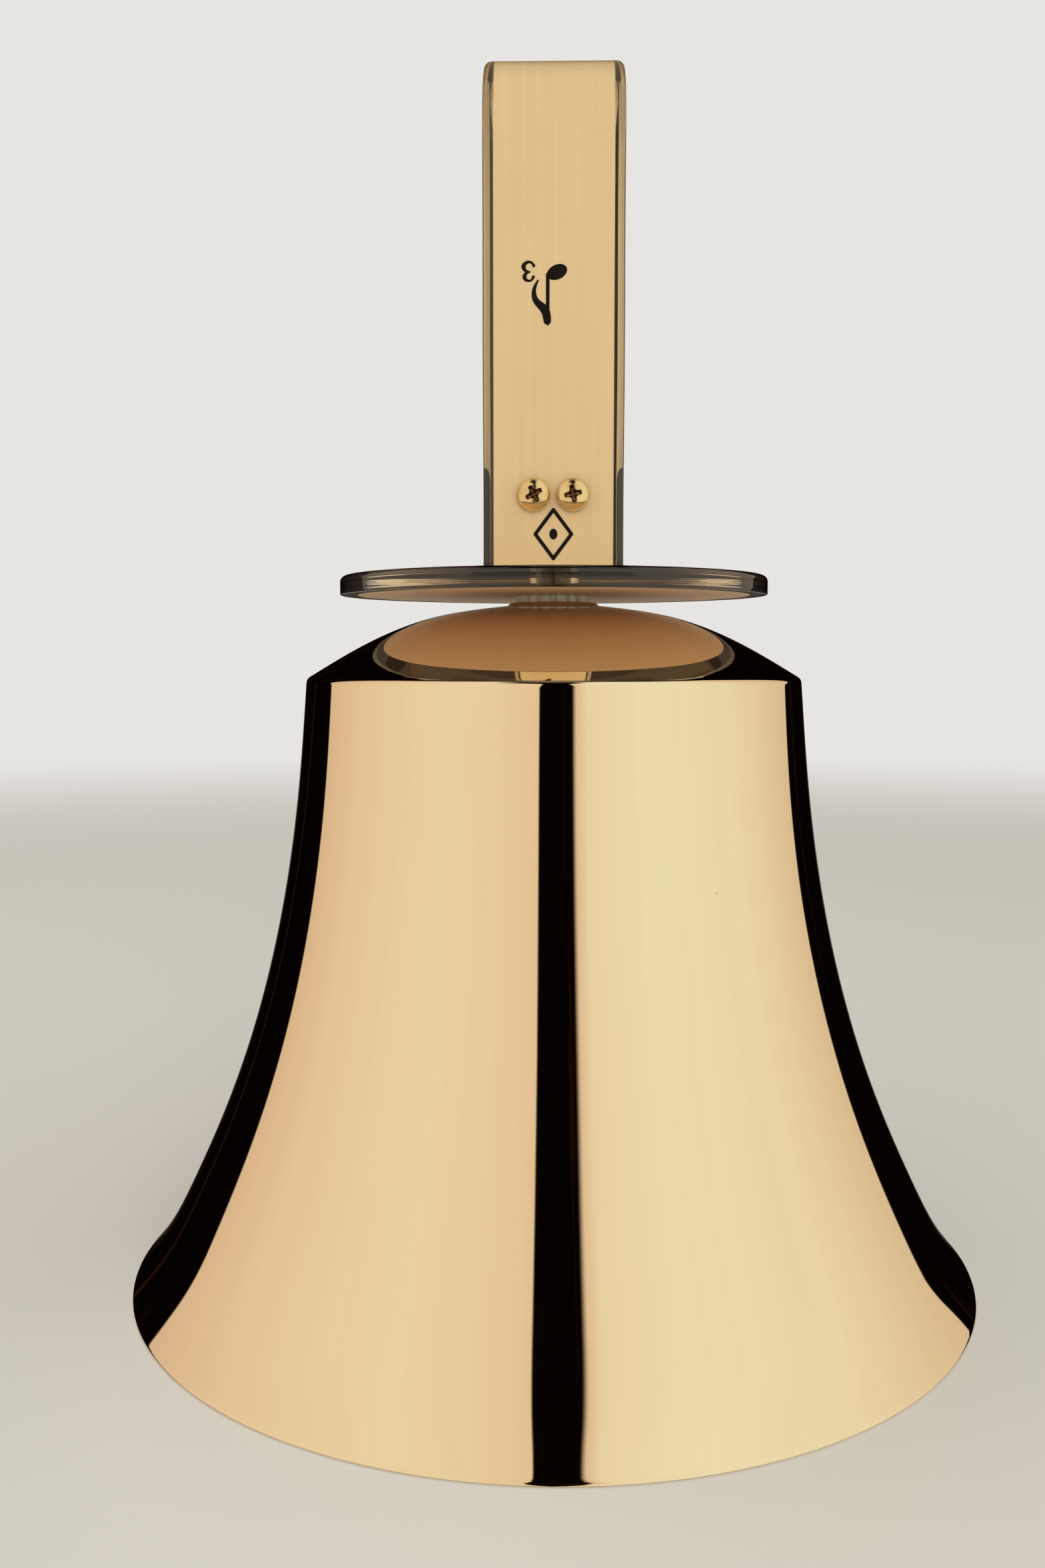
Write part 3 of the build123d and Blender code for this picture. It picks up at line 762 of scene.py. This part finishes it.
def badge():
    # A plain lozenge drawn in line, with a dot in it and a short bar under it, one unit tall.
    corners = [(0, 0.2), (0.27, 0.56), (0, 0.92), (-0.27, 0.56), (0, 0.2)]
    sides = [stroke([start, np.add(start, stop) / 2, stop], [0.055, 0.055], 4)
             for start, stop in zip(corners, corners[1:])]
    bar = stroke([(-0.17, 0.05), (0, 0.05), (0.17, 0.05)], [0.055, 0.055], 4)
    return [*sides, oval((0, 0.56), (0.12, 0.16), 0, 24), bar]


def outwards(mesh):
    work = bmesh.new()
    work.from_mesh(mesh)
    bmesh.ops.recalc_face_normals(work, faces=work.faces)
    bmesh.ops.triangulate(work, faces=work.faces)
    work.to_mesh(mesh)
    work.free()
    return mesh


def printed(outlines, height, place, turnOver):
    # Each outline as a thin plate on the strip's front face, turned half round where the mark
    # reads with the mouth up.
    sign = -1 if turnOver else 1
    plates = []
    for index, outline in enumerate(outlines):
        flat = (outline - [0, 0.5]) * height * sign + place
        front = coreFace - marks["lift"] - marks["thickness"] * (1 + 0.1 * index)
        back = coreFace - marks["lift"]
        count = len(flat)
        points = np.concatenate([np.insert(flat, 1, front, axis=1), np.insert(flat, 1, back, axis=1)])
        ring = np.arange(count)
        after = np.roll(ring, -1)
        sides = np.stack([ring, after, after + count, ring + count], -1).tolist()
        mesh = bpy.data.meshes.new("plate")
        mesh.from_pydata(points.tolist(), [], sides + [ring[::-1].tolist(), (ring + count).tolist()])
        plates.append(outwards(mesh))
    return plates


plates = printed(quaver(), marks["noteHeight"], marks["notePlace"], True)
plates += printed(numeral(), marks["numberHeight"], marks["numberPlace"], True)
plates += printed(badge(), marks["badgeHeight"], marks["badgePlace"], False)
addPiece("strap_print", joinMeshes("strap_print", plates), [printInk()], "bell")


# Handle screws.

screw = {
    "headRadius": 4.15 * mm,
    "headHeight": 2.7 * mm,
    "sideHeight": 0.4 * mm,
    "domePower": 2.0,
    "shankRadius": 2.05 * mm,
    "length": 12.5 * mm,
    "spacing": 9.9 * mm,
    "height": 19.5 * mm,
    "armHalfWidth": 0.62 * mm,
    "armReach": 2.25 * mm,
    "cornerReach": 1.22 * mm,
    "recessDepth": 1.9 * mm,
    "recessTaper": 0.72,
    "turns": [28, 12, 51, 6],
    "armSharpness": 8,
    "cornerSharpness": 10,
    "rimRound": 0.15 * mm,
    "pointLength": 3 * mm,
    "around": 176,
    "headRings": 22,
    "wallRings": 6,
}


def crossRadius(angle):
    # The recess seen from above: an arm's side is half its width over the sine of the angle
    # off its axis, its end an arc at its reach, and the corners between arms are cut by a circle.
    off = np.abs((angle + np.pi / 4) % (np.pi / 2) - np.pi / 4)
    side = screw["armHalfWidth"] / np.maximum(np.sin(off), 1e-6)
    sharp, blunt = float(screw["armSharpness"]), screw["cornerSharpness"]
    arm = (side**-sharp + screw["armReach"] ** -sharp) ** (-1 / sharp)
    return (arm**blunt + screw["cornerReach"] ** blunt) ** (1 / blunt)


def domeHeight(radius):
    # Side height plus a superellipse: (1 - (r / R)^p)^(1 / p) of what is left.
    share = np.clip(radius / screw["headRadius"], 0, 1)
    rise = screw["headHeight"] - screw["sideHeight"]
    return screw["sideHeight"] + rise * (1 - share ** screw["domePower"]) ** (1 / screw["domePower"])


def panScrew(turn):
    # Rings from the screw's point up its shank, over the head and down into the cross recess.
    # A ring on the head lies between the rim circle and the recess outline. The second value
    # says which rings are in the recess; these take a dark brass that is painted shade.
    angle = np.linspace(0, 2 * np.pi, screw["around"], endpoint=False)
    circle = np.ones_like(angle)
    shank, head, soft = screw["shankRadius"], screw["headRadius"], screw["rimRound"]
    rings = [(0 * circle, -screw["length"]), (shank * 0.3 * circle, -screw["length"]),
             (shank * circle, -screw["length"] + screw["pointLength"]), (shank * circle, 0.0),
             ((head - soft) * circle, 0.0), (head * circle, soft),
             (head * circle, screw["sideHeight"])]
    recess = crossRadius(angle)
    for share in np.sin(np.linspace(0, np.pi / 2, screw["headRings"]))[1:]:
        radius = head + (recess - head) * share
        rings.append((radius, domeHeight(radius)))
    rimHeight = domeHeight(recess)
    onHead = len(rings)
    for share in np.linspace(0, 1, screw["wallRings"] + 1)[1:]:
        radius = recess * (1 - (1 - screw["recessTaper"]) * share)
        rings.append((radius, rimHeight - 0.05 * mm - (screw["recessDepth"] - 0.05 * mm) * share))
    bottom = rings[-1][1].min() - 0.25 * mm
    rings.append((recess * 0.25, bottom * circle))
    rings.append((0 * circle, bottom * circle))
    across = angle + math.radians(turn)
    inRecess = np.arange(len(rings)) >= onHead
    return np.stack([np.stack([r * np.cos(across), r * np.sin(across), z * circle], -1)
                     for r, z in rings]), inRecess


def screwMeshes():
    meshes = []
    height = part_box("hand_guard")[1].z + screw["height"]
    for index, turn in enumerate(screw["turns"]):
        side = 1 if index % 2 else -1
        facing = -1 if index < 2 else 1
        local, inRecess = panScrew(turn)
        points = np.stack([-facing * (local[..., 0] + side * screw["spacing"] / 2),
                           facing * (bendOutside + local[..., 2]),
                           height + local[..., 1]], -1)
        meshes.append(gridMesh("screw", points, finishOf=inRecess))
    return meshes


screwBrass = workedMetal("screw_brass", (0.88, 0.66, 0.34), (0.72, 0.49, 0.21), (0.07, 0.16), 600)
# Dark brown brass for the cross recess walls: painted shade standing in for the shade that falls inside
# the recess.
recessPaintedShade = workedMetal("recess_brass", (0.3, 0.17, 0.07), (0.16, 0.08, 0.03), (0.25, 0.4), 600)
addPiece("pan_screws", joinMeshes("pan_screws", screwMeshes()), [screwBrass, recessPaintedShade],
         "bell", ["handle_screws"], 28)


# Springs over the two restraint plungers.

springs = {
    "wireRadius": 0.25 * mm,
    "turns": 9,
    "perTurn": 28,
    "around": 12,
    "travel": 5.9 * mm,
}


def coilMesh(name, low, high):
    # Round wire on a helix: the wire's ring about (r cos a, r sin a, p a), drawn in to a point
    # at both ends.
    wire = springs["wireRadius"]
    coil = high.x - wire
    turn = np.linspace(0, 2 * np.pi * springs["turns"], springs["turns"] * springs["perTurn"])
    rise = np.linspace(low.z + wire, high.z - wire, len(turn))
    rows = np.concatenate([[0], np.arange(len(turn)), [len(turn) - 1]])
    thickness = np.full(len(rows), wire)
    thickness[[0, -1]] = 0
    ring = np.linspace(0, 2 * np.pi, springs["around"], endpoint=False)
    radius = coil + thickness[:, None] * np.cos(ring)
    height = rise[rows, None] + thickness[:, None] * np.sin(ring)
    a = turn[rows, None]
    return gridMesh(name, np.stack([radius * np.cos(a), (low.y + high.y) / 2 + radius * np.sin(a),
                                    height], -1))


for side in ("front", "rear"):
    low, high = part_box(side + "_spring")
    coil = addPiece(side + "_coil", coilMesh(side + "_coil", low, high), [finishes["steel"]],
                    "bell", [side + "_spring"], 60)
    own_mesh(coil)


# Striking pads.

pads = {
    "width": 17.0 * mm,
    "inner": 22.5 * mm,
    "rows": 72,
    "columns": 128,
    "soft": {"square": 0.3, "crown": 0.5 * mm, "fuzz": 0.1 * mm},
    "medium": {"square": 0.2, "crown": 0.0, "fuzz": 0.0},
    "hard": {"square": 0.13, "crown": 0.0, "fuzz": 0.0},
}


def power(value, exponent):
    return np.sign(value) * np.abs(value) ** exponent


def padMesh(turn, reach, low, high, style, rng):
    # A superellipsoid, each axis a signed power of the sphere's cosine and sine, fitted to the
    # pad's box. Its outer face then follows the circle of the reach about the shaft.
    up, around = np.meshgrid(np.linspace(-np.pi / 2, np.pi / 2, pads["rows"]),
                             np.linspace(-np.pi, np.pi, pads["columns"], endpoint=False),
                             indexing="ij")
    square = style["square"]
    side = power(np.cos(up), square) * power(np.cos(around), square)
    away = power(np.cos(up), square) * power(np.sin(around), square)
    rise = power(np.sin(up), square)
    x = side * pads["width"] / 2
    y = pads["inner"] + (away + 1) / 2 * (reach - pads["inner"])
    y -= (away + 1) / 2 * (reach - np.sqrt(reach**2 - x**2))
    crown = style["crown"] * (1 - side**2) * (1 - rise**2)
    y -= np.where(away > 0, style["crown"] - crown, 0) * (away + 1) / 2
    fuzz = style["fuzz"] * (rng.random(x.shape) - 1) * (away + 1) / 2
    fuzz[[0, -1]] = 0
    z = (low + high) / 2 + rise * (high - low) / 2
    a = math.radians(turn)
    y = y + fuzz
    return gridMesh("pad", np.stack([x * math.cos(a) - y * math.sin(a),
                                     x * math.sin(a) + y * math.cos(a), z], -1))


rng = np.random.default_rng(7)
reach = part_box("soft_pads")[1].y
padSlots = {"soft": "felt", "medium": "rubber", "hard": "hard_plastic"}
for index, (kind, slotName) in enumerate(padSlots.items()):
    nodeName = kind + "_pads"
    low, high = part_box(nodeName)
    made = [padMesh(60 * index + half, reach, low.z, high.z, pads[kind], rng) for half in (0, 180)]
    piece = addPiece(slotName + "_pads", joinMeshes(slotName + "_pads", made), [finishes[slotName]],
                     "clapper_head", [nodeName], 50)


# Studio.

studio = {
    "panelTop": 77,
    "panelFade": 0.6,
    "stripe": (-6.3, 8.6),
    "stripeLean": (0.04, 0.035),
    "stripeRound": (0.2, 0.08),
    "outer": (-118, 126),
    "outerLean": (-0.35, 0.8),
    "outerTuck": (1.0, -2.2),
    "leanFrom": -2,
    "leanLength": 16,
    "topFrom": 50,
    "foldTone": (0.93, 0.12),
    "behindClear": (0.03, 0.021, 0.016),
    "backdrop": (0.8, 0.785, 0.76),
    "dark": (0.0015, 0.0008, 0.0005),
    "glint": (0.03, 0.011, 0.005),
    "floorGlow": (0.42, 0.39, 0.35),
    "rearGlow": (0.32, 0.28, 0.22),
}


def studioWorld():
    # The room as seen from the object, by azimuth from -Y towards +X and height above the
    # horizon, both in degrees: two tall fabric panels with a dark gap between them, the
    # floor's glow, a glow low behind and overhead, and darkness elsewhere. Each edge of a
    # panel is an azimuth that leans with the height.
    world = bpy.data.worlds.new("studio")
    bpy.context.scene.world = world
    sky = Paint(world)
    direction = sky.node("TexCoord", output="Generated")
    split = {axis: sky.node("SeparateXYZ", {}, {"Vector": direction}, axis) for axis in "XYZ"}
    toDegrees = 180 / math.pi
    azimuth = sky.maths("ARCTAN2", split["X"], 0 - split["Y"]) * toDegrees
    height = sky.maths("ARCSINE", split["Z"]) * toDegrees
    above = sky.maths("MAXIMUM", height - studio["leanFrom"], 0.0)
    above = sky.maths("MINIMUM", above, studio["leanLength"])
    nearTop = sky.maths("MAXIMUM", height - studio["topFrom"], 0.0)
    rounding = sky.maths("MINIMUM", nearTop * nearTop, 200.0)

    inner, innerLean, innerRound = (studio[part] for part in ("stripe", "stripeLean", "stripeRound"))
    outer, outerLean, outerTuck = (studio[part] for part in ("outer", "outerLean", "outerTuck"))
    leftInner = inner[0] + innerLean[0] * above - innerRound[0] * rounding
    rightInner = inner[1] + innerLean[1] * above + innerRound[1] * rounding
    leftOuter, rightOuter = (outer[side] + outerLean[side] * above + outerTuck[side] * nearTop
                             for side in (0, 1))
    left = sky.step(azimuth - leftOuter, -0.5, 0.5) * (1 - sky.step(azimuth - leftInner, -0.4, 0.4))
    right = sky.step(azimuth - rightInner, -0.8, 1.4) * (1 - sky.step(azimuth - rightOuter, -0.5, 0.5))
    top, fade = studio["panelTop"], studio["panelFade"]
    panels = (left + right) * (1 - sky.step(height, top - fade, top + fade))

    tone = sky.node("ValToRGB", {"stops": [
        (0.16, (0.72, 0.565, 0.43)), (0.24, (0.84, 0.72, 0.565)), (0.37, (0.875, 0.835, 0.665)),
        (0.44, (0.86, 0.77, 0.61)), (0.484, (0.83, 0.7, 0.55)), (0.528, (0.79, 0.64, 0.49)),
        (0.54, (0.87, 0.84, 0.68)), (0.62, (0.9, 0.93, 0.785)), (0.74, (0.87, 0.86, 0.7)),
        (0.81, (0.8, 0.72, 0.56)), (0.88, (0.7, 0.555, 0.41))]}, {"Fac": (azimuth + 180) / 360})
    waver = sky.node("CombineXYZ", {}, {"X": azimuth * 0.01, "Y": height * 0.03, "Z": 3.0})
    across = azimuth * 0.13 + 1.6 * sky.noise(waver, 1.0, 2)
    where = sky.node("CombineXYZ", {}, {"X": across, "Y": height * 0.012, "Z": 0.0})
    folds = sky.noise(where, 1.0, 4, 0.6)
    base, depth = studio["foldTone"]
    cloth = sky.node("VectorMath", {"operation": "SCALE"}, {0: tone, "Scale": base + depth * folds})

    behind = sky.maths("ABSOLUTE", azimuth)
    rear = sky.step(behind, 158, 172) * (1 - sky.step(height, -6, -1)) + 0.7 * sky.step(height, 68, 89)
    floor = (1 - sky.step(height, -34, -16)) * (behind > 125)
    dusk = sky.mix(sky.step(folds, 0.56, 0.7), studio["dark"], studio["glint"])
    room = sky.mix(floor, dusk, studio["floorGlow"])
    room = sky.mix(rear, room, studio["rearGlow"])
    room = sky.mix(panels, room, cloth)
    through = sky.node("LightPath", output="Is Transmission Ray")
    seen = sky.node("LightPath", output="Is Camera Ray")
    colour = sky.mix(through, room, studio["behindClear"])
    colour = sky.mix(seen, colour, studio["backdrop"])
    sky.finish(sky.node("Background", {}, {"Color": colour, "Strength": 1.0}))


floorLook = {
    "pale": (0.86, 0.87, 0.91),
    "shade": (0.83, 0.84, 0.88),
    "roughness": 0.7,
    "specular": 0.2,
    "fade": (0.75, 2.1),
    "radius": 6,
}


def paleFloor():
    # A disc of rings at growing radius, faded out by its distance from the middle and clear
    # from below.
    radius = np.concatenate([[0], np.geomspace(0.05, floorLook["radius"], 24)])
    angle = np.linspace(0, 2 * np.pi, 96, endpoint=False)
    points = np.stack([radius[:, None] * np.cos(angle), radius[:, None] * np.sin(angle),
                       np.zeros((len(radius), len(angle)))], -1)
    paint = newPaint("pale_floor")
    spot = paint.node("TexCoord", output="Object")
    away = paint.node("VectorMath", {"operation": "LENGTH"}, {0: spot}, "Value")
    cloud = paint.noise(paint.place(), 5, 4)
    fromBelow = paint.node("NewGeometry", output="Backfacing")
    pale = paint.node("BsdfPrincipled", {}, {
        "Base Color": paint.mix(cloud, floorLook["pale"], floorLook["shade"]),
        "Roughness": floorLook["roughness"],
        "Specular IOR Level": floorLook["specular"],
        "Alpha": (1 - paint.step(away, *floorLook["fade"])) * (1 - fromBelow)})
    mesh = gridMesh("floor", points)
    mesh.materials.append(paint.finish(pale))
    floor = bpy.data.objects.new("floor", mesh)
    bpy.context.scene.collection.objects.link(floor)
    floor.visible_glossy = False
    floor.visible_transmission = False


def softLight(name, place, aim, size, power, colour):
    lamp = bpy.data.lights.new(name, "AREA")
    lamp.shape = "DISK"
    lamp.size = size
    lamp.energy = power
    lamp.color = colour
    light = bpy.data.objects.new(name, lamp)
    bpy.context.scene.collection.objects.link(light)
    light.location = place
    direction = np.subtract(aim, place)
    flat = math.hypot(direction[0], direction[1])
    light.rotation_euler = (math.atan2(flat, -direction[2]), 0, math.atan2(-direction[0], direction[1]))
    light.visible_glossy = False
    light.visible_transmission = False


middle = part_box("handle_jacket")[0].z * 1.25
lights = {
    "front_fill": {"place": (0.35, -2.2, 0.6), "aim": (0, 0, middle), "size": 1.4, "power": 20.5,
                   "colour": (1.0, 0.95, 0.88)},
    "top_fill": {"place": (-0.3, 0.5, 1.7), "aim": (0, 0, 0.15), "size": 1.2, "power": 7.0,
                 "colour": (1.0, 0.97, 0.93)},
}
view = {
    "place": (0, -0.3944, 0.16894),
    "down": 5.092,
    "turn": 1.211,
    "lens": 33.16,
    "sensor": 36,
    "bounces": {"max_bounces": 32, "glossy_bounces": 24, "transmission_bounces": 24,
                "transparent_max_bounces": 16},
}

studioWorld()
paleFloor()
for name, look in lights.items():
    softLight(name, **look)

camera = bpy.data.cameras.new("camera")
camera.lens = view["lens"]
camera.sensor_width = view["sensor"]
cameraObject = bpy.data.objects.new("camera", camera)
bpy.context.scene.collection.objects.link(cameraObject)
cameraObject.location = view["place"]
cameraObject.rotation_euler = (math.radians(90 - view["down"]), 0, math.radians(view["turn"]))
bpy.context.scene.camera = cameraObject
bpy.context.scene.view_settings.view_transform = "Standard"
for kind, count in view["bounces"].items():
    setattr(bpy.context.scene.cycles, kind, count)
print("studio ready")
